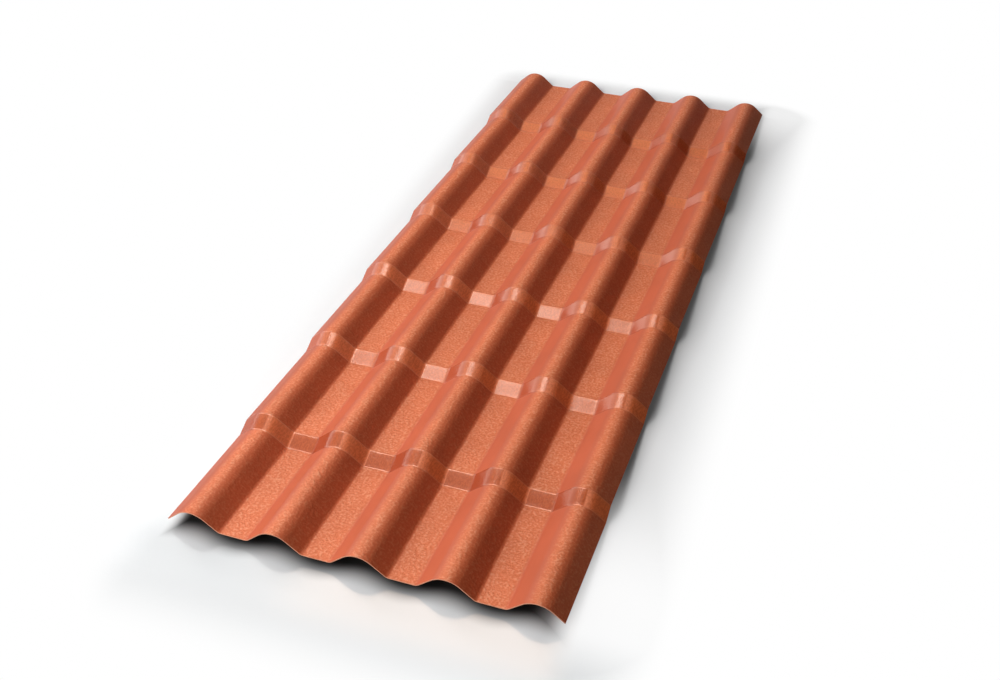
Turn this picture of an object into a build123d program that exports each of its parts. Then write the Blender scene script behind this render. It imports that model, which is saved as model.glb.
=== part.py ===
from build123d import *
import os
from math import cos, radians, sin

# Clay-tile pattern roof sheet, moulded in one piece of rigid PVC, in millimetres.
# The sheet lies crests up. X runs across the crests, Y up the roof slope from the eave end
# to the ridge end, and Z up from the level that the lowest parts of the sheet rest on.

# Cross-section, the same all along the sheet. Radii are those of the upper, weathered face.
wall = 2.5
crest_count = 5
crest_radius = 49.0
flank_angle = 41.0
flank_length = 36.0
foot_radius = 14.0
pan_width = 54.0
edge_flank_length = 34.2

# Line along the roof slope. Each row of tiles is a long tread that falls towards the ridge end
# and a short riser that climbs onto the next row, and the last tread runs on to the ridge end.
row_count = 7
tread_run = 292.0
riser_run = 36.6
step_height = 16.5

# Sizes that follow from the ones above.
flank_cos = cos(radians(flank_angle))
flank_sin = sin(radians(flank_angle))
crest_half_width = (crest_radius + foot_radius) * flank_sin + flank_length * flank_cos
crest_height = (crest_radius + foot_radius) * (1 - flank_cos) + flank_length * flank_sin
crest_pitch = 2 * crest_half_width + pan_width
sheet_length = row_count * (tread_run + riser_run)


def around(centre_x, centre_z, radius, angle):
    """Point of the section on a circle, at an angle in degrees from straight up towards +X."""
    turn = radians(angle)
    return Vector(centre_x + radius * sin(turn), 0, centre_z + radius * cos(turn))


def arc_around(centre_x, centre_z, radius, start_angle, end_angle):
    """Arc of the section about a centre, between two angles from straight up."""
    return ThreePointArc(
        around(centre_x, centre_z, radius, start_angle),
        around(centre_x, centre_z, radius, (start_angle + end_angle) / 2),
        around(centre_x, centre_z, radius, end_angle),
    )


def face_line(depth):
    """Outline of one face, left to right, at a depth below the upper face."""
    crest_centre_z = wall + crest_height - crest_radius
    foot_centre_z = wall + foot_radius
    edge_fall = Vector(0, 0, -edge_flank_length * flank_sin)
    edge_reach = Vector(edge_flank_length * flank_cos, 0, 0)
    edges = []
    for number in range(crest_count):
        crest_x = (number - (crest_count - 1) / 2) * crest_pitch
        crest = arc_around(crest_x, crest_centre_z, crest_radius - depth, -flank_angle, flank_angle)
        if number == 0:
            edges.append(Line(crest @ 0 - edge_reach + edge_fall, crest @ 0))
        else:
            foot_x = crest_x - crest_half_width
            foot = arc_around(foot_x, foot_centre_z, foot_radius + depth, 180, 180 - flank_angle)
            edges += [Line(edges[-1] @ 1, foot @ 0), foot, Line(foot @ 1, crest @ 0)]
        edges.append(crest)
        if number == crest_count - 1:
            edges.append(Line(crest @ 1, crest @ 1 + edge_reach + edge_fall))
        else:
            foot_x = crest_x + crest_half_width
            foot = arc_around(foot_x, foot_centre_z, foot_radius + depth, 180 + flank_angle, 180)
            edges += [Line(crest @ 1, foot @ 0), foot]
    return edges


def cross_section():
    """The sheet cut across its crests: two parallel faces, with long edges square to the flanks."""
    upper = face_line(0)
    under = face_line(wall)
    left_edge = Line(upper[0] @ 0, under[0] @ 0)
    right_edge = Line(upper[-1] @ 1, under[-1] @ 1)
    return Face(Wire([*upper, *under, left_edge, right_edge]))


def slope_line():
    """Treads and risers of the underside of the pans, from the eave end to the ridge end."""
    along = -sheet_length / 2
    points = [(0, along, step_height)]
    for _ in range(row_count - 1):
        along += tread_run
        points.append((0, along, 0))
        along += riser_run
        points.append((0, along, step_height))
    points.append((0, sheet_length / 2, 0))
    return Polyline(*points)


def roof_sheet():
    """The section carried along the slope line, upright all the way, as one solid."""
    path = slope_line()
    section = Pos(path @ 0) * cross_section()
    return sweep(section, path=path, normal=Vector(0, 1, 0)).solid()


os.makedirs("parts", exist_ok=True)
export_step(roof_sheet(), "parts/roof_sheet.step")
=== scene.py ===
import logging
from dataclasses import dataclass, field
from enum import Enum
from math import cos, pi, radians, sin

import bmesh
import bpy
from bmesh.types import BMEdge, BMesh, BMLayerItem, BMVert
from bpy.types import Material, Node, NodeSocket, NodeTree, Object
from mathutils import Matrix, Vector


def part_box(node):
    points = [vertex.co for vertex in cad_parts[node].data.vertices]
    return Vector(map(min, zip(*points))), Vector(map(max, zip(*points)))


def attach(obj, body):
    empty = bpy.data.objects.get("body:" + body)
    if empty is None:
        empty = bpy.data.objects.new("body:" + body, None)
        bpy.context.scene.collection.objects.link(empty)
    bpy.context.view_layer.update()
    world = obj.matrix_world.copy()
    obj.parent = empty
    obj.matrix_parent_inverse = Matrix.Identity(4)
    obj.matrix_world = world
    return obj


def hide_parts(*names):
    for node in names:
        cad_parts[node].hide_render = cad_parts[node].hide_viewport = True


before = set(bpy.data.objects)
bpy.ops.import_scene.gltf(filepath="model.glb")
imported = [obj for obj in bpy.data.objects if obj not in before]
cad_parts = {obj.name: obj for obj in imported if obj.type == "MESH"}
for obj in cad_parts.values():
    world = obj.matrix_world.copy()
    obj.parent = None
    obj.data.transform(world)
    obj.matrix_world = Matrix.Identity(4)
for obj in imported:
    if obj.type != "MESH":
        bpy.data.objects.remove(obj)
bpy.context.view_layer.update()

log = logging.getLogger("roof_sheet")

SHEET_NODE = "roof_sheet"
MILLIMETRE = 0.001
STRIP_LAYER = "smooth_strip"
BAND_LAYER = "riser_band"
# The crease layer places the painted highlight lines in the risers' bends.
CREASE_LAYER = "crease_line"
PATCH_DETAIL = 3.0
PATCH_RANGE = (0.3, 0.7)

Tint = tuple[float, float, float, float]
Triple = tuple[float, float, float]
Pair = tuple[float, float]
Range = Pair
Number = float | NodeSocket
Colour = Tint | NodeSocket


class Face(Enum):
    """The kinds of surface on the sheet, by their place in its list of materials."""

    WEATHER = 0
    RISER = 1
    UNDERSIDE = 2
    CUT_EDGE = 3


@dataclass
class Bench:
    """Places and joins the shader nodes of one material or world.

    Attributes:
        tree: The node tree that is worked on.
    """

    tree: NodeTree

    def add(self, kind: str, **settings: object) -> Node:
        """Adds one node.

        Args:
            kind: The node's Blender type name.
            **settings: Properties of the node, or values for the inputs of that name, with _ for a space.

        Returns:
            The new node.
        """
        node = self.tree.nodes.new(kind)
        for name, value in settings.items():
            if hasattr(node, name):
                setattr(node, name, value)
            else:
                self.feed(node, name.replace("_", " "), value)
        return node

    def feed(self, node: Node, name: str | int, value: object) -> None:
        """Gives one input a value, or joins it to another node's output.

        Args:
            node: The node that has the input.
            name: The input's name or number.
            value: A plain value, or an output socket.
        """
        if isinstance(value, NodeSocket):
            self.tree.links.new(value, node.inputs[name])
        else:
            node.inputs[name].default_value = value

    def sum(self, operation: str, *values: Number) -> NodeSocket:
        """Adds a Math node.

        Args:
            operation: The node's operation, such as "MULTIPLY".
            *values: Numbers or output sockets for its inputs, in order.

        Returns:
            The node's output.
        """
        node = self.add("ShaderNodeMath", operation=operation)
        for place, value in enumerate(values):
            self.feed(node, place, value)
        return node.outputs[0]

    def ramp(
        self, value: Number, low: Number, high: Number, start: Number = 0.0, end: Number = 1.0
    ) -> NodeSocket:
        """Adds a smooth change from start to end, as value goes from low to high.

        Args:
            value: What is read.
            low: The value at which the change begins.
            high: The value at which it ends.
            start: What comes out up to low.
            end: What comes out from high on.

        Returns:
            The changed value.
        """
        node = self.add("ShaderNodeMapRange", interpolation_type="SMOOTHSTEP")
        for place, number in enumerate((value, low, high, start, end)):
            self.feed(node, place, number)
        return node.outputs[0]

    def blend(self, share: Number, first: Colour, second: Colour, kind: str = "MIX") -> NodeSocket:
        """Mixes two colours.

        Args:
            share: The second colour's share.
            first: The first colour.
            second: The second colour.
            kind: The way of mixing, "MIX" or "MULTIPLY".

        Returns:
            The mixed colour.
        """
        node = self.add("ShaderNodeMix", data_type="RGBA", blend_type=kind)
        self.feed(node, 0, share)
        self.feed(node, 6, first)
        self.feed(node, 7, second)
        return node.outputs[2]

    def mix(self, share: Number, first: NodeSocket, second: NodeSocket) -> NodeSocket:
        """Mixes two shaders.

        Args:
            share: The second shader's share.
            first: The first shader.
            second: The second shader.

        Returns:
            The mixed shader.
        """
        node = self.add("ShaderNodeMixShader", Fac=share)
        self.feed(node, 1, first)
        self.feed(node, 2, second)
        return node.outputs[0]

    def layer(self, name: str) -> NodeSocket:
        """Reads one of the mesh's own vertex layers."""
        return self.add("ShaderNodeAttribute", attribute_name=name).outputs["Fac"]

    def noise(self, place: NodeSocket, scale: float, detail: float) -> NodeSocket:
        """Adds soft random heights from 0 to 1, of the given fineness and detail."""
        return self.add("ShaderNodeTexNoise", Vector=place, Scale=scale, Detail=detail).outputs["Fac"]

    def mottled(
        self, colour: Colour, place: NodeSocket, scale: float = 14.0, shades: Range = (0.92, 1.05)
    ) -> NodeSocket:
        """Gives a colour soft patches.

        Args:
            colour: The colour.
            place: The place on the piece.
            scale: How fine the patches are.
            shades: The brightness of the darkest and the palest patches.

        Returns:
            The patchy colour.
        """
        shade = self.ramp(self.noise(place, scale, PATCH_DETAIL), *PATCH_RANGE, *shades)
        return self.add("ShaderNodeHueSaturation", Value=shade, Color=colour).outputs[0]

    def seen(self) -> NodeSocket:
        """Tells the rays apart that come from the camera, or by way of a reflection or a clear body.

        Returns:
            1 for such a ray, and else 0.
        """
        path = self.add("ShaderNodeLightPath")
        both = self.sum("MAXIMUM", path.outputs["Is Camera Ray"], path.outputs["Is Glossy Ray"])
        return self.sum("MAXIMUM", both, path.outputs["Is Transmission Ray"])


def tint(red: float, green: float, blue: float) -> Tint:
    """Gives a linear colour with full cover."""
    return (red, green, blue, 1.0)


def new_material(name: str) -> tuple[Material, Bench, Node]:
    """Makes an empty material.

    Args:
        name: The material's name.

    Returns:
        The material, its bench, and its output node.
    """
    material = bpy.data.materials.new(name)
    material.use_nodes = True
    material.node_tree.nodes.clear()
    bench = Bench(material.node_tree)
    return material, bench, bench.add("ShaderNodeOutputMaterial")


def set_down(mesh: BMesh, name: str, *materials: Material) -> Object:
    """Turns a finished mesh into an object of the scene.

    Args:
        mesh: The mesh, which is used up.
        name: The object's name.
        *materials: Its materials, in order.

    Returns:
        The object, at the origin.
    """
    data = bpy.data.meshes.new(name)
    mesh.to_mesh(data)
    mesh.free()
    for material in materials:
        data.materials.append(material)
    made = bpy.data.objects.new(name, data)
    bpy.context.scene.collection.objects.link(made)
    return made


@dataclass(frozen=True)
class GrainedFinish:
    """The grained upper face of the treads, with a smooth strip on the left flank of each crest.

    The mark in the sheet's mesh says what a place is: 1 on a smooth strip, 0 in the grain of a pan or of a
    crest's top, and down to -1 on a right flank, where the grain is flatter and the colour is darkened as
    painted shade.

    Attributes:
        name: The material's name.
        grained: The grain's middle tone.
        pale_grain: The tone of its highest spots.
        deep_grain: The tone of its hollows.
        grain_tones: The grain's heights at which the three tones are pure, from the hollows up.
        grain_scale: How fine the grain is.
        grain_detail: How much finer grain lies on top of it.
        grain_depth: The height of its relief, in metres.
        flank_painted_shade: The painted shade that the colour is multiplied by on a right flank, turned from
            the lamps.
        flank_calm: How far the grain's tones close up there.
        flank_full: The mark at which both have come in fully.
        flank_relief: The share of the relief that is left there.
        relief_full: The mark at which it is down to that.
        edge_painted_shade: The painted shade that the colour is multiplied by on the sheet's outermost left
            flank, against its reflection of the white surroundings.
        edge_shade_range: Where that fades out, across the sheet, in metres.
        strip: The smooth strip's colour.
        patch_scale: How fine the soft patches in the colour are.
        patch_shades: The brightness of the darkest and the palest patches.
        grain_roughness: The grain's roughness.
        strip_roughness: The smooth strip's roughness.
        specular: The specular level.
    """

    name: str = "grained_terracotta"
    grained: Tint = tint(0.73, 0.193, 0.081)
    pale_grain: Tint = tint(0.81, 0.3, 0.155)
    deep_grain: Tint = tint(0.66, 0.155, 0.058)
    grain_tones: Triple = (0.32, 0.5, 0.68)
    grain_scale: float = 182.0
    grain_detail: float = 2.0
    grain_depth: float = 0.0014
    flank_painted_shade: Tint = tint(0.86, 0.67, 0.57)
    flank_calm: float = 0.45
    flank_full: float = -0.45
    flank_relief: float = 0.6
    relief_full: float = -0.9
    edge_painted_shade: Tint = tint(0.79, 0.7, 0.6)
    edge_shade_range: Range = (-0.425, -0.37)
    strip: Tint = tint(0.45, 0.093, 0.039)
    patch_scale: float = 9.0
    patch_shades: Range = (0.95, 1.04)
    grain_roughness: float = 0.55
    strip_roughness: float = 0.45
    specular: float = 0.12

    def material(self) -> Material:
        """Makes the finish's material.

        Returns:
            The material.
        """
        made, bench, output = new_material(self.name)
        place = bench.add("ShaderNodeTexCoord").outputs["Object"]
        across = bench.add("ShaderNodeSeparateXYZ", Vector=place).outputs["X"]
        mark = bench.layer(STRIP_LAYER)
        strip = bench.sum("MAXIMUM", mark, 0.0)
        grain = bench.noise(place, self.grain_scale, self.grain_detail)
        hollow, middle, peak = self.grain_tones
        colour = bench.blend(bench.ramp(grain, hollow, middle), self.deep_grain, self.grained)
        colour = bench.blend(bench.ramp(grain, middle, peak), colour, self.pale_grain)
        calm = bench.ramp(mark, self.flank_full, 0.0, self.flank_calm, 0.0)
        colour = bench.blend(calm, colour, self.grained)
        # Painted shade: the right flanks, turned from the lamps, are darkened and reddened.
        flank = bench.ramp(mark, self.flank_full, 0.0, 1.0, 0.0)
        colour = bench.blend(flank, colour, self.flank_painted_shade, "MULTIPLY")
        colour = bench.blend(strip, colour, self.strip)
        # Painted shade on the sheet's outermost left flank, taking down its reflection of the white
        # surroundings.
        edge = bench.ramp(across, *self.edge_shade_range, 1.0, 0.0)
        colour = bench.blend(edge, colour, self.edge_painted_shade, "MULTIPLY")
        relief = bench.sum("SUBTRACT", bench.ramp(mark, self.relief_full, 0.0, self.flank_relief, 1.0), strip)
        bump = bench.add("ShaderNodeBump", Strength=relief, Distance=self.grain_depth, Height=grain)
        shader = bench.add(
            "ShaderNodeBsdfPrincipled",
            Base_Color=bench.mottled(colour, place, self.patch_scale, self.patch_shades),
            Roughness=bench.ramp(strip, 0.0, 1.0, self.grain_roughness, self.strip_roughness),
            Normal=bump.outputs[0],
            Specular_IOR_Level=self.specular,
        )
        bench.feed(output, "Surface", shader.outputs[0])
        return made


@dataclass(frozen=True)
class BandFinish:
    """The smooth, glossier band on each riser, with fine draw lines that run lengthwise.

    Places along the sheet are in metres from its middle. The mark is the same as the grained finish's.

    Attributes:
        name: The material's name.
        colour: The band's colour on the pans and the crests' tops.
        strip: Its colour on the smooth strips of the left flanks.
        shoulder: A painted highlight: its colour on a crest's right shoulder.
        flank: Its colour further down a right flank, lighter than on the pans: painted light on the shaded
            side.
        strip_range: The marks between which the strip's colour comes in.
        painted_flank_range: The marks between which the right flanks' painted colours end.
        shoulder_range: The marks between which the flank's colour changes to the shoulder's painted
            highlight.
        first_shaded_colour: The colour on the pans and tops of the first riser, at the eave end, darkened as
            painted shade.
        first_shaded_strip: The strips' colour there, darkened as painted shade too.
        first_shade_range: Where, after the first riser, these two end.
        far_painted_shade: What the right flanks' painted colours are multiplied by at the far end, as painted
            shade.
        far_shade_range: Where along the sheet that comes in.
        crease_painted_highlight: The colour of the pale line in a crease, a painted highlight.
        dark_tone: What the colour is multiplied by in the draw lines and dots.
        pattern_range: The joint heights of lines and dots between which that tone fades out.
        line_scale: How fine the draw lines are.
        line_stretch: How short they are, as a share: the less, the longer.
        line_detail: How much finer lines lie on them.
        line_depth: The height of their relief, in metres.
        dot_scale: How fine the dots are.
        dot_detail: How much finer dots lie on them.
        dot_depth: The height of their relief.
        roughness: The roughness.
        specular: The specular level.
        gleam: The reflections' colour.
    """

    name: str = "smooth_riser_band"
    colour: Tint = tint(0.53, 0.112, 0.034)
    strip: Tint = tint(0.38, 0.07, 0.027)
    shoulder: Tint = tint(0.74, 0.215, 0.1)
    flank: Tint = tint(0.64, 0.14, 0.046)
    strip_range: Range = (0.3, 0.9)
    painted_flank_range: Range = (-0.14, 0.0)
    shoulder_range: Range = (-0.7, -0.15)
    first_shaded_colour: Tint = tint(0.445, 0.085, 0.023)
    first_shaded_strip: Tint = tint(0.32, 0.053, 0.018)
    first_shade_range: Range = (-0.66, -0.52)
    far_painted_shade: Tint = tint(0.64, 0.52, 0.5)
    far_shade_range: Range = (-0.3, 0.9)
    crease_painted_highlight: Tint = tint(0.68, 0.19, 0.09)
    dark_tone: Tint = tint(0.8, 0.74, 0.7)
    pattern_range: Range = (0.78, 1.22)
    line_scale: float = 320.0
    line_stretch: float = 0.06
    line_detail: float = 1.0
    line_depth: float = 0.00005
    dot_scale: float = 210.0
    dot_detail: float = 2.0
    dot_depth: float = 0.0004
    roughness: float = 0.2
    specular: float = 0.3
    gleam: Tint = tint(1.0, 0.78, 0.58)

    def material(self) -> Material:
        """Makes the finish's material.

        Returns:
            The material.
        """
        made, bench, output = new_material(self.name)
        place = bench.add("ShaderNodeTexCoord").outputs["Object"]
        along = bench.add("ShaderNodeSeparateXYZ", Vector=place).outputs["Y"]
        drawn = bench.add("ShaderNodeMapping", Vector=place, Scale=(1.0, self.line_stretch, 1.0)).outputs[0]
        lines = bench.noise(drawn, self.line_scale, self.line_detail)
        dots = bench.noise(place, self.dot_scale, self.dot_detail)
        mark = bench.layer(STRIP_LAYER)
        # Painted light on a crest's right side: a painted highlight on the shoulder and a lighter colour down
        # the shaded flank, with painted shade taking it down towards the far end.
        painted_flank_colour = bench.blend(bench.ramp(mark, *self.shoulder_range, 1.0, 0.0), self.shoulder, self.flank)
        painted_flank_colour = bench.blend(bench.ramp(along, *self.far_shade_range), painted_flank_colour, self.far_painted_shade, "MULTIPLY")
        # Painted shade: the first riser, at the eave end, is darker.
        past_first = bench.ramp(along, *self.first_shade_range)
        colour = bench.blend(past_first, self.first_shaded_colour, self.colour)
        colour = bench.blend(bench.ramp(mark, *self.painted_flank_range, 1.0, 0.0), colour, painted_flank_colour)
        dark = bench.ramp(bench.sum("ADD", lines, dots), *self.pattern_range, 1.0, 0.0)
        colour = bench.blend(dark, colour, self.dark_tone, "MULTIPLY")
        # Painted highlight: a pale line in each crease of the riser.
        colour = bench.blend(bench.layer(CREASE_LAYER), colour, self.crease_painted_highlight)
        strip = bench.blend(past_first, self.first_shaded_strip, self.strip)
        colour = bench.blend(bench.ramp(mark, *self.strip_range), colour, strip)
        dimples = bench.add("ShaderNodeBump", Strength=1.0, Distance=self.dot_depth, Height=dots).outputs[0]
        bump = bench.add("ShaderNodeBump", Strength=1.0, Distance=self.line_depth, Height=lines)
        bench.feed(bump, "Normal", dimples)
        shader = bench.add(
            "ShaderNodeBsdfPrincipled",
            Base_Color=colour,
            Roughness=self.roughness,
            Normal=bump.outputs[0],
            Specular_IOR_Level=self.specular,
            Specular_Tint=self.gleam,
        )
        bench.feed(output, "Surface", shader.outputs[0])
        return made


@dataclass(frozen=True)
class PlainFinish:
    """An even finish, for the smooth underside and the sawn edges.

    Attributes:
        name: The material's name.
        colour: The colour.
        roughness: The roughness.
    """

    name: str
    colour: Tint
    roughness: float

    def material(self) -> Material:
        """Makes the finish's material.

        Returns:
            The material.
        """
        made, bench, output = new_material(self.name)
        place = bench.add("ShaderNodeTexCoord").outputs["Object"]
        tone = bench.mottled(self.colour, place)
        shader = bench.add("ShaderNodeBsdfPrincipled", Base_Color=tone, Roughness=self.roughness)
        bench.feed(output, "Surface", shader.outputs[0])
        return made


@dataclass
class LinePen:
    """Draws a bent line as a wire of edges, leg by leg, in one plane.

    Attributes:
        mesh: The mesh that the line is drawn in.
        tip: The vertex that the line has come to.
        along: The unit vector that a heading of 0 points in.
        heading: The angle that the next leg climbs at, in radians.
        layer: The vertex layer that takes the mark, if any.
        mark: The value that new vertices get in that layer.
    """

    mesh: BMesh
    tip: BMVert
    along: Vector
    heading: float
    layer: BMLayerItem | None = None
    mark: float = 0.0

    def ahead(self) -> Vector:
        """Gives the unit vector that the next leg starts out along."""
        return self.along * cos(self.heading) + Vector((0, 0, sin(self.heading)))

    def run(self, length: float, steps: int = 1) -> None:
        """Draws a straight leg.

        Args:
            length: The leg's length.
            steps: The number of edges in it.
        """
        for _ in range(steps):
            self.tip = bmesh.ops.extrude_vert_indiv(self.mesh, verts=[self.tip])["verts"][0]
            bmesh.ops.translate(self.mesh, verts=[self.tip], vec=self.ahead() * (length / steps))
            self.sign()

    def bend(self, radius: float, angle: float, steps: int) -> None:
        """Draws an arc that meets the last leg smoothly.

        Args:
            radius: The arc's radius.
            angle: The turn in radians, positive where the line turns upwards.
            steps: The number of edges in the arc.
        """
        side = 1.0 if angle > 0 else -1.0
        across = Vector((0, 0, cos(self.heading))) - self.along * sin(self.heading)
        turned = bmesh.ops.spin(
            self.mesh,
            geom=[self.tip],
            cent=self.tip.co + across * radius * side,
            axis=self.along.cross(Vector((0, 0, 1))),
            angle=angle,
            steps=steps,
        )
        self.tip = next(item for item in turned["geom_last"] if isinstance(item, BMVert))
        self.sign()
        self.heading += angle

    def sign(self) -> None:
        """Gives the line's last vertex its mark."""
        if self.layer is not None:
            self.tip[self.layer] = self.mark


@dataclass(frozen=True)
class WaveSection:
    """The cross-section's upper line, the same all along the sheet. Sizes in metres and radians.

    Attributes:
        crest_count: The number of crests.
        crest_radius: The radius of a crest's arc.
        flank_angle: How steep the flanks are.
        flank_length: The straight part of a flank.
        edge_flank_length: The straight part of the flank at either side edge.
        foot_radius: The radius of the arc between a flank and a pan.
        pan_width: The width of a pan's flat.
        wall: The sheet's thickness.
        left_steps: The number of edges in a left flank's straight part.
        right_steps: The same for a right flank's.
        pan_steps: The same for a pan's flat, up to the strip's first trace.
        foot_steps: The same for a foot's arc.
        top_steps: The same for a crest's top, which is plain grain.
        shaded_side_steps: The same for a crest's right side, where the mark falls to -1 for the right flanks'
            painted shade and painted light.
        strip_start: How far out into the pan the next flank's smooth strip can be traced.
        strip_trace: The mark there.
        strip_rise: The marks in a left flank's foot, where the smooth strip begins.
        strip_fade: The marks on a crest's left side, where it ends.
    """

    crest_count: int = 5
    crest_radius: float = 49.0 * MILLIMETRE
    flank_angle: float = radians(41.0)
    flank_length: float = 36.0 * MILLIMETRE
    edge_flank_length: float = 34.2 * MILLIMETRE
    foot_radius: float = 14.0 * MILLIMETRE
    pan_width: float = 54.0 * MILLIMETRE
    wall: float = 2.5 * MILLIMETRE
    left_steps: int = 6
    right_steps: int = 4
    pan_steps: int = 5
    foot_steps: int = 5
    top_steps: int = 2
    shaded_side_steps: int = 7
    strip_start: float = 4.0 * MILLIMETRE
    strip_trace: float = 0.15
    strip_rise: tuple[float, ...] = (0.4, 0.65, 0.85, 0.95, 1.0)
    strip_fade: tuple[float, ...] = (1.0, 1.0, 0.9, 0.68, 0.42, 0.18, 0.04)

    def drawn(self, mesh: BMesh, start: Vector) -> None:
        """Draws the line as a wire.

        Args:
            mesh: The mesh that the line is drawn in.
            start: The upper corner of the sheet's left side edge.
        """
        layer = mesh.verts.layers.float[STRIP_LAYER]
        first = mesh.verts.new(start)
        first[layer] = 1.0
        pen = LinePen(mesh, first, Vector((1, 0, 0)), self.flank_angle, layer, mark=1.0)
        for crest in range(self.crest_count):
            last = crest == self.crest_count - 1
            pen.run(self.edge_flank_length if crest == 0 else self.flank_length, self.left_steps)
            self.crest(pen)
            pen.run(self.edge_flank_length if last else self.flank_length, self.right_steps)
            if not last:
                self.pan(pen)

    def crest(self, pen: LinePen) -> None:
        """Draws a crest's arc. The smooth strip ends on its left side, and the mark for the right side's
        painted shade and painted light begins past its top.

        Args:
            pen: The pen, at the upper end of the left flank.
        """
        turn = -2 * self.flank_angle / (len(self.strip_fade) + self.top_steps + self.shaded_side_steps)
        for mark in self.strip_fade:
            pen.mark = mark
            pen.bend(self.crest_radius, turn, 1)
        pen.mark = 0.0
        pen.bend(self.crest_radius, self.top_steps * turn, self.top_steps)
        for step in range(self.shaded_side_steps):
            pen.mark = -(step + 1) / self.shaded_side_steps
            pen.bend(self.crest_radius, turn, 1)

    def pan(self, pen: LinePen) -> None:
        """Draws one pan with the foot on each side of it, in the second of which a smooth strip begins.

        Args:
            pen: The pen, at the lower end of the right flank.
        """
        turn = self.flank_angle / self.foot_steps
        for step in range(self.foot_steps):
            pen.mark = -(self.foot_steps - 1 - step) / self.foot_steps
            pen.bend(self.foot_radius, turn, 1)
        pen.run(self.pan_width - self.strip_start, self.pan_steps)
        pen.mark = self.strip_trace
        pen.run(self.strip_start)
        for mark in self.strip_rise:
            pen.mark = mark
            pen.bend(self.foot_radius, turn, 1)


@dataclass(frozen=True)
class Stop:
    """One place on the slope line at which the cross-section has a row of vertices.

    Attributes:
        place: Where it is.
        band: 1 in a riser's smooth band, 0 on a tread.
        crease: 1 in the middle of a crease, falling to 0 beside it, where the painted highlight line lies.
    """

    place: Vector
    band: float
    crease: float


@dataclass(frozen=True)
class SlopeLine:
    """The line that the cross-section is carried along, in rows of treads and risers. Sizes in metres.

    Attributes:
        row_count: The number of treads.
        tread_run: How long a tread is on the ground.
        riser_run: The same for a riser.
        step_height: How far a tread falls and a riser climbs.
        crease_radius: The radius of the bend at a riser's foot and at its top.
        crease_width: How wide the painted highlight line in such a bend is.
        band_margin: How long the narrow face beside a bend is, which keeps the band's border sharp.
        crease_steps: The number of edges in a bend.
        tread_steps: The same for a tread.
        riser_steps: The same for a riser.
    """

    row_count: int = 7
    tread_run: float = 292.0 * MILLIMETRE
    riser_run: float = 36.6 * MILLIMETRE
    step_height: float = 16.5 * MILLIMETRE
    crease_radius: float = 9.0 * MILLIMETRE
    crease_width: float = 4.4 * MILLIMETRE
    band_margin: float = 1.5 * MILLIMETRE
    crease_steps: int = 6
    tread_steps: int = 6
    riser_steps: int = 4

    @property
    def length(self) -> float:
        """The sheet's length."""
        return self.row_count * (self.tread_run + self.riser_run)

    def stops(self) -> list[Stop]:
        """Works out where the cross-section is set down.

        Returns:
            The stops, from the eave end on.
        """
        path = bmesh.new()
        level = Vector((0, 1, 0))
        tread = Vector((0, self.tread_run, -self.step_height))
        riser = Vector((0, self.riser_run, self.step_height))
        turn = tread.angle(level) + riser.angle(level)
        cut = self.crease_radius * sin(turn / 2) / cos(turn / 2)
        first = path.verts.new((0, -self.length / 2, self.step_height))
        pen = LinePen(path, first, level, -tread.angle(level))
        for row in range(self.row_count - 1):
            ends = 1 if row == 0 else 2
            pen.run(tread.length - ends * (cut + self.band_margin), self.tread_steps)
            pen.run(self.band_margin)
            pen.bend(self.crease_radius, turn, self.crease_steps)
            pen.run(riser.length - 2 * cut, self.riser_steps)
            pen.bend(self.crease_radius, -turn, self.crease_steps)
            pen.run(self.band_margin)
        left = Vector((0, self.length / 2, 0)) - pen.tip.co
        pen.heading = -left.angle(level)
        pen.run(left.length, self.tread_steps)
        places = sorted((vert.co.copy() for vert in path.verts), key=lambda place: place.y)
        path.free()
        return [self.stop_at(place, cut) for place in places]

    def stop_at(self, place: Vector, cut: float) -> Stop:
        """Works out what a stop lies in.

        Args:
            place: Where the stop is.
            cut: How far a rounded crease reaches to each side of its corner.

        Returns:
            The stop.
        """
        pitch = self.tread_run + self.riser_run
        row = int((place.y + self.length / 2) // pitch)
        along = place.y + self.length / 2 - row * pitch
        has_riser = row < self.row_count - 1
        to_last_top = along if row > 0 else self.length
        to_top = pitch - along if has_riser else self.length
        to_foot = abs(along - self.tread_run) if has_riser else self.length
        near = min(to_last_top, to_top, to_foot)
        climbing = has_riser and along > self.tread_run
        band = 1.0 if climbing or near < cut + self.band_margin / 2 else 0.0
        return Stop(place, band, max(0.0, 1.0 - near / (self.crease_width / 2)))


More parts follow.
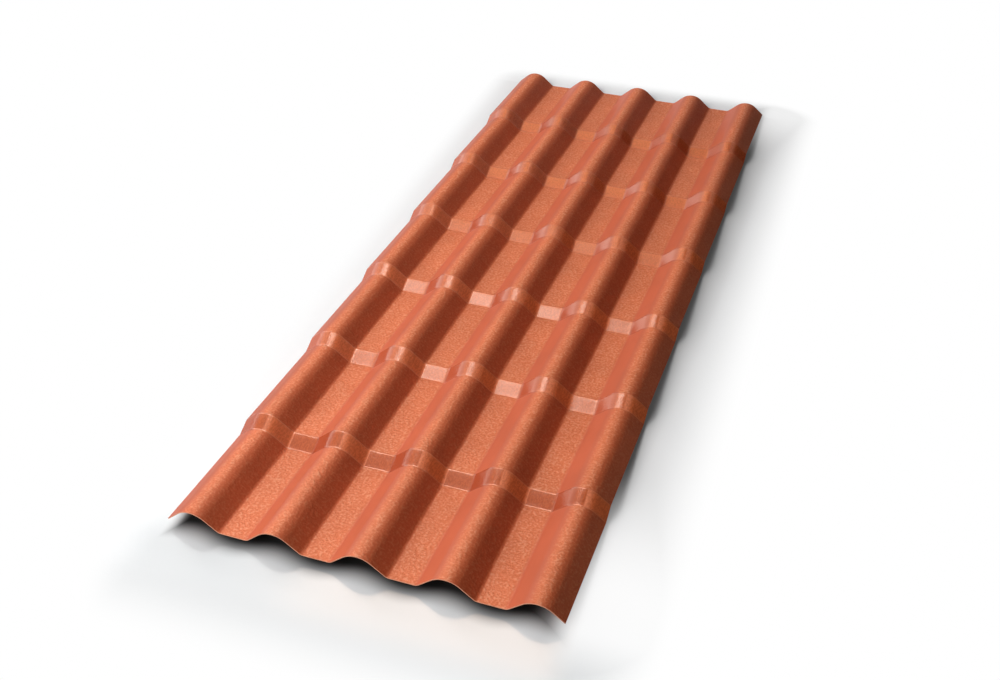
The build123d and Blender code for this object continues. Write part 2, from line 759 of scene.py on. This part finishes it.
@dataclass
class RoofSheet:
    """The moulded sheet: the cross-section carried up the slope line, with a wall's thickness.

    Attributes:
        section: The cross-section.
        slope: The slope line.
        edge_round: How far the sheet's cut corners are rubbed off.
        band_share: The share of a face's corners that has to be in the band for the band's finish.
        sharp_angle: The angle between faces from which their edge isn't shaded smooth.
    """

    section: WaveSection = field(default_factory=WaveSection)
    slope: SlopeLine = field(default_factory=SlopeLine)
    edge_round: float = 0.35 * MILLIMETRE
    band_share: float = 0.6
    sharp_angle: float = radians(30)

    def face_mesh(self, top: float) -> BMesh:
        """Makes the upper face as one skin.

        Args:
            top: The height of its highest point.

        Returns:
            The skin, facing up.
        """
        mesh = bmesh.new()
        mesh.verts.layers.float.new(STRIP_LAYER)
        band_layer = mesh.verts.layers.float.new(BAND_LAYER)
        crease_layer = mesh.verts.layers.float.new(CREASE_LAYER)
        stops = self.slope.stops()
        self.section.drawn(mesh, stops[0].place)
        spread = max(v.co.x for v in mesh.verts)
        crown = max(v.co.z for v in mesh.verts)
        home = Vector((-spread / 2, 0, top - crown))
        bmesh.ops.translate(mesh, verts=mesh.verts[:], vec=home)
        row = mesh.edges[:]
        for here, there in zip(stops, stops[1:]):
            grown = bmesh.ops.extrude_edge_only(mesh, edges=row)["geom"]
            verts = [item for item in grown if isinstance(item, BMVert)]
            row = [item for item in grown if isinstance(item, BMEdge)]
            bmesh.ops.translate(mesh, verts=verts, vec=there.place - here.place)
            for vert in verts:
                vert[band_layer] = there.band
                vert[crease_layer] = there.crease
        if sum(face.normal.z for face in mesh.faces) < 0:
            bmesh.ops.reverse_faces(mesh, faces=mesh.faces[:])
        return mesh

    def thicken(self, mesh: BMesh, end: float) -> None:
        """Gives the skin its wall downwards, marks the kinds of face and rubs off the cut corners.

        Args:
            mesh: The skin, which becomes a closed body.
            end: How far the sheet's ends are from its middle.
        """
        upper = set(mesh.faces)
        bmesh.ops.solidify(mesh, geom=mesh.faces[:], thickness=self.section.wall)
        beside = {face for first in upper for edge in first.edges for face in edge.link_faces}
        rim = beside - upper
        band_layer = mesh.verts.layers.float[BAND_LAYER]
        for face in mesh.faces:
            face.smooth = True
            banded = sum(vert[band_layer] for vert in face.verts) > self.band_share * len(face.verts)
            above = Face.RISER if banded else Face.WEATHER
            kind = above if face in upper else Face.CUT_EDGE if face in rim else Face.UNDERSIDE
            face.material_index = kind.value
        for vert in {vert for face in rim for vert in face.verts if abs(vert.co.y) > end - self.section.wall}:
            vert.co.y = end if vert.co.y > 0 else -end
        corners = [e for e in mesh.edges if len({f in rim for f in e.link_faces}) == 2]
        bmesh.ops.bevel(
            mesh,
            geom=corners,
            offset=self.edge_round,
            segments=1,
            profile=0.5,
            affect="EDGES",
            material=Face.CUT_EDGE.value,
        )
        for vert in mesh.verts:
            vert.co.y = max(-end, min(end, vert.co.y))
        for edge in mesh.edges:
            if len(edge.link_faces) == 2 and edge.calc_face_angle(0.0) > self.sharp_angle:
                edge.smooth = False

    def build(self) -> Object:
        """Makes the sheet in place of its CAD solid.

        Returns:
            The finished piece.
        """
        _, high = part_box(SHEET_NODE)
        mesh = self.face_mesh(high.z)
        self.thicken(mesh, high.y)
        piece = set_down(
            mesh,
            "roof_sheet_moulding",
            GrainedFinish().material(),
            BandFinish().material(),
            PlainFinish("smooth_underside", colour=tint(0.42, 0.085, 0.038), roughness=0.45).material(),
            PlainFinish("sawn_edge", colour=tint(0.5, 0.2, 0.115), roughness=0.6).material(),
        )
        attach(piece, "root")
        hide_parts(SHEET_NODE)
        return piece


@dataclass(frozen=True)
class Softbox:
    """One soft lamp of the studio.

    Attributes:
        name: The lamp's name.
        place: Where its middle is.
        target: The point it faces.
        size: Its width and its length.
        power: Its power in watts.
        lights_matt: Whether it lights matt surfaces.
        shines: Whether it is seen in reflections.
        colour: Its light's colour.
    """

    name: str
    place: Vector
    target: Vector
    size: Pair
    power: float
    lights_matt: bool = True
    shines: bool = True
    colour: Triple = (1.0, 1.0, 1.0)

    def hang(self) -> Object:
        """Hangs the lamp in the scene.

        Returns:
            The lamp's object.
        """
        lamp = bpy.data.lights.new(self.name, "AREA")
        lamp.shape = "RECTANGLE"
        lamp.size, lamp.size_y = self.size
        lamp.energy = self.power
        lamp.color = self.colour
        hung = bpy.data.objects.new(self.name, lamp)
        hung.visible_diffuse = self.lights_matt
        hung.visible_glossy = self.shines
        hung.location = self.place
        hung.rotation_euler = (self.target - self.place).to_track_quat("-Z", "Y").to_euler()
        bpy.context.scene.collection.objects.link(hung)
        return hung


@dataclass
class FloorSpot:
    """Where the spot of the floor that is shaded lies, in sockets that give metres.

    Attributes:
        across: Its place across the sheet.
        along: Its place along the sheet.
        over_right: How far it is out past the sheet's right side. Below 0, it is inside.
        over_left: The same for the left side.
        over_far: The same for the far end.
        over_near: The same for the near end, in front.
    """

    across: NodeSocket
    along: NodeSocket
    over_right: NodeSocket
    over_left: NodeSocket
    over_far: NodeSocket
    over_near: NodeSocket


@dataclass(frozen=True)
class FloorFinish:
    """The polished white floor: painted shadow under the sheet, its cast shadow beside it deepened by painted
    shadow, and plain white further out.

    Ranges are in metres and count outwards from the sheet's edges.

    Attributes:
        low: The sheet's lowest corner.
        high: The sheet's highest corner.
        white: The floor's colour.
        cool_white: Its colour in front, a painted cool tint against the sheet's warm reflected light.
        dark: Its colour under the sheet, a painted shadow.
        roughness: How blurred its mirror image is.
        shine: The mirror image's strength in front.
        shine_start: How far inside the near edge the mirror image and the cool white begin.
        shine_end: Where the mirror image fades out in front.
        shine_side: Where it fades out towards the right.
        fade: Where the floor turns plain white, in widened distance.
        side_widening: How much the distance is widened on the right.
        back_widening: How much it is widened on the left and behind.
        front: Where the painted shadow ends in front.
        front_light: How light the floor gets there, from the sheet's left to its right side; below 1 this is
            painted shade.
        front_side: Where, beside the sheet, that becomes full white.
        arch_light: Half of how much further in the floor is painted light under a crest.
        arch_pitch: The distance between crests.
        right_inset: How far inside the right edge the painted shadow begins to end, near and far.
        right_inset_run: The length of the far end over which the far one comes in.
        right_reach: Where the painted shadow ends on the right, near and far.
        right_reach_end: Where along the sheet the far one is reached.
        corner: Where the front's lightness takes over from a side's.
        left: Where the painted shadow ends on the left.
        left_light: How light the floor gets there, which below 1 is painted shade.
        left_end: Where that becomes full white.
        far: Where the painted shadow ends behind.
        lift: The painted light, plain white, that is added on the right.
        near_lift: The same at the near end.
        near_lift_run: How far inside the near end that changes to the former.
        far_lift: What is added at the far end.
        far_lift_run: Where the lift changes to that.
        lift_side: Where the lift comes in, on the right.
        lift_front: Where it goes out, in front.
    """

    low: Vector
    high: Vector
    white: Tint = tint(0.97, 0.97, 0.97)
    cool_white: Tint = tint(0.947, 0.97, 0.978)
    dark: Tint = tint(0.022, 0.022, 0.022)
    roughness: float = 0.14
    shine: float = 0.04
    shine_start: float = 0.08
    shine_end: Range = (0.08, 0.18)
    shine_side: Range = (-0.03, 0.05)
    fade: Range = (0.04, 0.27)
    side_widening: float = 1.35
    back_widening: float = 2.2
    front: Range = (-0.015, 0.045)
    front_light: Range = (0.66, 0.8)
    front_side: Range = (-0.02, 0.25)
    arch_light: float = 0.009
    arch_pitch: float = 0.191
    right_inset: Range = (0.085, 0.32)
    right_inset_run: float = 0.4
    right_reach: Range = (0.03, 0.1)
    right_reach_end: float = 0.2
    corner: Range = (-0.15, 0.05)
    left: Range = (-0.03, 0.012)
    left_light: float = 0.92
    left_end: float = 0.3
    far: Range = (-0.06, 0.005)
    lift: float = 0.08
    near_lift: float = 0.88
    near_lift_run: Range = (0.1, 0.5)
    far_lift: float = 0.7
    far_lift_run: Range = (-0.3, 0.05)
    lift_side: Range = (-0.045, 0.03)
    lift_front: Range = (-0.02, 0.15)

    def material(self) -> Material:
        """Makes the finish's material.

        Returns:
            The material.
        """
        made, bench, output = new_material("polished_white_floor")
        spot = self.spot(bench)
        # Painted shadow: the floor's colour is darkened under the sheet and beside it.
        out_of_painted_shadow = self.out_of_painted_shadow(bench, spot)
        # Painted cool tint in front, against the sheet's warm reflected light.
        white = bench.blend(bench.ramp(spot.over_near, -self.shine_start, 0.0), self.white, self.cool_white)
        matt = bench.add("ShaderNodeBsdfDiffuse", Color=bench.blend(out_of_painted_shadow, self.dark, white)).outputs[0]
        gloss = bench.add("ShaderNodeBsdfGlossy", Color=tint(1, 1, 1), Roughness=self.roughness).outputs[0]
        shine = bench.sum("MULTIPLY", out_of_painted_shadow, self.shine_share(bench, spot))
        polished = bench.mix(shine, matt, gloss)
        glow = bench.add("ShaderNodeEmission", Color=tint(1, 1, 1), Strength=1.0).outputs[0]
        # The plain white fades in away from the sheet; on the right it is also painted light that lifts the
        # shadow.
        plain = bench.sum("MAXIMUM", self.fade_share(bench, spot), self.lift_share(bench, spot))
        bench.feed(output, "Surface", bench.mix(bench.sum("MULTIPLY", plain, bench.seen()), polished, glow))
        return made

    def spot(self, bench: Bench) -> FloorSpot:
        """Works out where a spot of the floor lies.

        Args:
            bench: The floor's bench.

        Returns:
            The spot.
        """
        place = bench.add("ShaderNodeTexCoord").outputs["Object"]
        parts = bench.add("ShaderNodeSeparateXYZ", Vector=place).outputs
        return FloorSpot(
            across=parts["X"],
            along=parts["Y"],
            over_right=bench.sum("SUBTRACT", parts["X"], self.high.x),
            over_left=bench.sum("SUBTRACT", self.low.x, parts["X"]),
            over_far=bench.sum("SUBTRACT", parts["Y"], self.high.y),
            over_near=bench.sum("SUBTRACT", self.low.y, parts["Y"]),
        )

    def out_of_painted_shadow(self, bench: Bench, spot: FloorSpot) -> NodeSocket:
        """Works out how far a spot is out of the painted shadow under and beside the sheet.

        Args:
            bench: The floor's bench.
            spot: The spot.

        Returns:
            The floor's painted lightness, from 0 in the painted shadow to 1.
        """
        turns = bench.sum("MULTIPLY", spot.across, 2 * pi / self.arch_pitch)
        arches = bench.sum("MULTIPLY_ADD", bench.sum("COSINE", turns), self.arch_light, self.arch_light)
        out_front = bench.sum("ADD", spot.over_near, arches)
        to_side = bench.sum("MAXIMUM", spot.over_left, spot.over_right)
        front_light = bench.ramp(spot.across, self.low.x, self.high.x, *self.front_light)
        front_light = bench.ramp(to_side, *self.front_side, front_light, 1.0)
        front = bench.ramp(out_front, *self.front, 0.0, front_light)
        side_light = bench.ramp(spot.over_near, *self.corner, 1.0, front_light)
        right_reach = bench.ramp(spot.along, self.low.y, self.right_reach_end, *self.right_reach)
        near_inset, far_inset = self.right_inset
        inset_from = self.high.y - self.right_inset_run
        right_start = bench.ramp(spot.along, inset_from, self.high.y, -near_inset, -far_inset)
        right = bench.ramp(spot.over_right, right_start, right_reach, 0.0, side_light)
        left_light = bench.ramp(spot.over_left, 0.0, self.left_end, self.left_light, 1.0)
        left_light = bench.sum("MINIMUM", left_light, side_light)
        left = bench.ramp(spot.over_left, *self.left, 0.0, left_light)
        far = bench.ramp(spot.over_far, *self.far)
        return bench.sum("MAXIMUM", bench.sum("MAXIMUM", front, right), bench.sum("MAXIMUM", left, far))

    def shine_share(self, bench: Bench, spot: FloorSpot) -> NodeSocket:
        """Works out how strong the mirror image is, which shows only right in front of the sheet.

        Args:
            bench: The floor's bench.
            spot: The spot.

        Returns:
            The mirror image's share.
        """
        share = bench.ramp(spot.over_near, -self.shine_start, 0.0, 0.0, self.shine)
        share = bench.sum("MULTIPLY", share, bench.ramp(spot.over_near, *self.shine_end, 1.0, 0.0))
        return bench.sum("MULTIPLY", share, bench.ramp(spot.over_right, *self.shine_side, 1.0, 0.0))

    def fade_share(self, bench: Bench, spot: FloorSpot) -> NodeSocket:
        """Works out how far the floor fades to plain white, away from the sheet.

        Args:
            bench: The floor's bench.
            spot: The spot.

        Returns:
            The plain white's share.
        """
        to_left = bench.sum("MULTIPLY", spot.over_left, self.back_widening)
        to_right = bench.sum("MULTIPLY", spot.over_right, self.side_widening)
        to_far = bench.sum("MULTIPLY", spot.over_far, self.back_widening)
        both = bench.add("ShaderNodeCombineXYZ")
        bench.feed(both, "X", bench.sum("MAXIMUM", bench.sum("MAXIMUM", to_left, to_right), 0.0))
        bench.feed(both, "Y", bench.sum("MAXIMUM", bench.sum("MAXIMUM", to_far, spot.over_near), 0.0))
        beyond = bench.add("ShaderNodeVectorMath", operation="LENGTH")
        bench.feed(beyond, 0, both.outputs[0])
        return bench.ramp(beyond.outputs["Value"], *self.fade)

    def lift_share(self, bench: Bench, spot: FloorSpot) -> NodeSocket:
        """Works out how much painted light, plain white, is added on the right, where the shadow is too deep.

        Args:
            bench: The floor's bench.
            spot: The spot.

        Returns:
            The plain white's share.
        """
        near_from, near_to = (self.low.y + inset for inset in self.near_lift_run)
        far_from, far_to = (self.high.y + reach for reach in self.far_lift_run)
        near_lift = bench.ramp(spot.along, near_from, near_to, self.near_lift, self.lift)
        far_lift = bench.ramp(spot.along, far_from, far_to, self.lift, self.far_lift)
        lift = bench.sum("MAXIMUM", near_lift, far_lift)
        lift = bench.sum("MULTIPLY", lift, bench.ramp(spot.over_right, *self.lift_side))
        return bench.sum("MULTIPLY", lift, bench.ramp(spot.over_near, *self.lift_front, 1.0, 0.0))


@dataclass
class Studio:
    """The white floor, the lamps, the surroundings and the camera.

    Attributes:
        low: The sheet's lowest corner.
        high: The sheet's highest corner.
        floor_reach: How far the floor goes in each direction.
        ambient: The surroundings' strength on matt surfaces.
        card_height: How high the cards hang.
        pale: The front and middle cards' light, a little blue against the orange bands.
        amber: The back card's light.
        curtain_gap: How far the curtain is from the sheet's right side.
        curtain_height: How high it is.
        curtain_stretch: How long it is, in lengths of the sheet.
        curtain_colour: Its colour.
        sensor: The camera's sensor width, in millimetres.
        lens: Its focal length, in millimetres.
        shift: How far its picture is moved to the right and up, in picture widths.
        eye: Where it is.
        gaze: The direction it looks in.
        gaze_right: The direction that is to the right in its picture.
    """

    low: Vector
    high: Vector
    floor_reach: float = 14.0
    ambient: float = 0.02
    card_height: float = 3.0
    pale: Triple = (1.0, 1.04, 1.16)
    amber: Triple = (1.0, 0.64, 0.42)
    curtain_gap: float = 0.55
    curtain_height: float = 1.0
    curtain_stretch: float = 3.0
    curtain_colour: Tint = tint(0.01, 0.01, 0.01)
    sensor: float = 36.0
    lens: float = 41.366
    shift: Pair = (-0.0394, -0.01346)
    eye: Triple = (0.8341, -2.5154, 1.8103)
    gaze: Triple = (-0.24901, 0.75854, -0.60217)
    gaze_right: Triple = (0.94987, 0.31265, 0.00105)

    def lay_floor(self) -> Object:
        """Lays the polished white floor.

        Returns:
            The floor.
        """
        mesh = bmesh.new()
        bmesh.ops.create_grid(mesh, x_segments=1, y_segments=1, size=self.floor_reach)
        floor = set_down(mesh, "studio_floor", FloorFinish(self.low, self.high).material())
        return floor

    def surround(self) -> None:
        """Makes the white surroundings, which light matt surfaces only faintly."""
        world = bpy.data.worlds.new("white_studio")
        world.use_nodes = True
        world.node_tree.nodes.clear()
        bench = Bench(world.node_tree)
        strength = bench.ramp(bench.seen(), 0.0, 1.0, self.ambient, 1.0)
        back = bench.add("ShaderNodeBackground", Color=tint(1, 1, 1), Strength=strength)
        output = bench.add("ShaderNodeOutputWorld")
        bench.feed(output, "Surface", back.outputs[0])
        bpy.context.scene.world = world

    def hang_curtain(self) -> Object:
        """Hangs a black curtain out of sight along the sheet's right side, which keeps those flanks dark.

        Returns:
            The curtain.
        """
        mesh = bmesh.new()
        bmesh.ops.create_grid(mesh, x_segments=1, y_segments=1, size=0.5)
        bmesh.ops.rotate(mesh, verts=mesh.verts[:], matrix=Matrix.Rotation(radians(-90), 3, "Y"))
        length = self.curtain_stretch * (self.high.y - self.low.y)
        bmesh.ops.scale(mesh, verts=mesh.verts[:], vec=Vector((1, length, self.curtain_height)))
        middle = Vector((self.high.x + self.curtain_gap, self.high.y, self.curtain_height / 2))
        bmesh.ops.translate(mesh, verts=mesh.verts[:], vec=middle)
        cloth, bench, output = new_material("black_cloth")
        black = bench.add("ShaderNodeBsdfDiffuse", Color=self.curtain_colour)
        bench.feed(output, "Surface", black.outputs[0])
        curtain = set_down(mesh, "black_curtain", cloth)
        curtain.visible_camera = False
        return curtain

    def hang_lamps(self) -> None:
        """Hangs three broad lamps on the sheet's left, from its eave end on, and three cards over it."""
        middle = Vector((0, 0, 0))
        for lamp in (
            Softbox("key_lamp", Vector((-1.72, -3.7, 1.9)), middle, (3.0, 3.0), power=128.0),
            Softbox("high_lamp", Vector((-2.56, -2.15, 3.01)), middle, (3.0, 3.0), power=80.0, shines=False),
            Softbox("side_lamp", Vector((-3.63, 1.25, 2.58)), middle, (3.4, 4.2), power=168.0),
            self.card("front_card", (-1.1, -1.22), (1.9, 0.8), power=5.0, colour=self.pale),
            self.card("middle_card", (-0.95, -0.2), (1.5, 1.0), power=82.0, colour=self.pale),
            self.card("back_card", (-0.9, 1.15), (1.6, 1.5), power=50.0, colour=self.amber),
        ):
            lamp.hang()
            log.info("%s hung", lamp.name)

    def card(self, name: str, place: Pair, size: Pair, power: float, colour: Triple) -> Softbox:
        """Makes a card that faces down over the sheet, and is seen only in its shiny riser bands.

        Args:
            name: The card's name.
            place: Where its middle is, across and along the sheet.
            size: Its size, the same ways.
            power: Its power in watts.
            colour: Its light's colour.

        Returns:
            The card.
        """
        middle = Vector((*place, self.card_height))
        below = Vector((*place, 0))
        return Softbox(name, middle, below, size, power, lights_matt=False, colour=colour)

    def place_camera(self) -> Object:
        """Places the camera at the picture's viewing angle.

        Returns:
            The camera.
        """
        lens = bpy.data.cameras.new("camera")
        lens.sensor_width = self.sensor
        lens.lens = self.lens
        lens.shift_x, lens.shift_y = self.shift
        forward = Vector(self.gaze)
        right = Vector(self.gaze_right)
        up = right.cross(forward)
        camera = bpy.data.objects.new("camera", lens)
        turn = Matrix((right, up, -forward)).transposed()
        camera.matrix_world = Matrix.Translation(self.eye) @ turn.to_4x4()
        bpy.context.scene.collection.objects.link(camera)
        bpy.context.scene.camera = camera
        return camera


def main() -> None:
    """Builds the sheet and the studio in order."""
    logging.basicConfig(level=logging.INFO, format="%(name)s: %(message)s")
    scene = bpy.context.scene
    scene.view_settings.view_transform = "Standard"
    sheet = RoofSheet().build()
    log.info("%s has %d faces", sheet.name, len(sheet.data.polygons))
    low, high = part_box(SHEET_NODE)
    studio = Studio(low, high)
    studio.lay_floor()
    studio.surround()
    studio.hang_curtain()
    studio.hang_lamps()
    studio.place_camera()


if __name__ == "__main__":
    main()
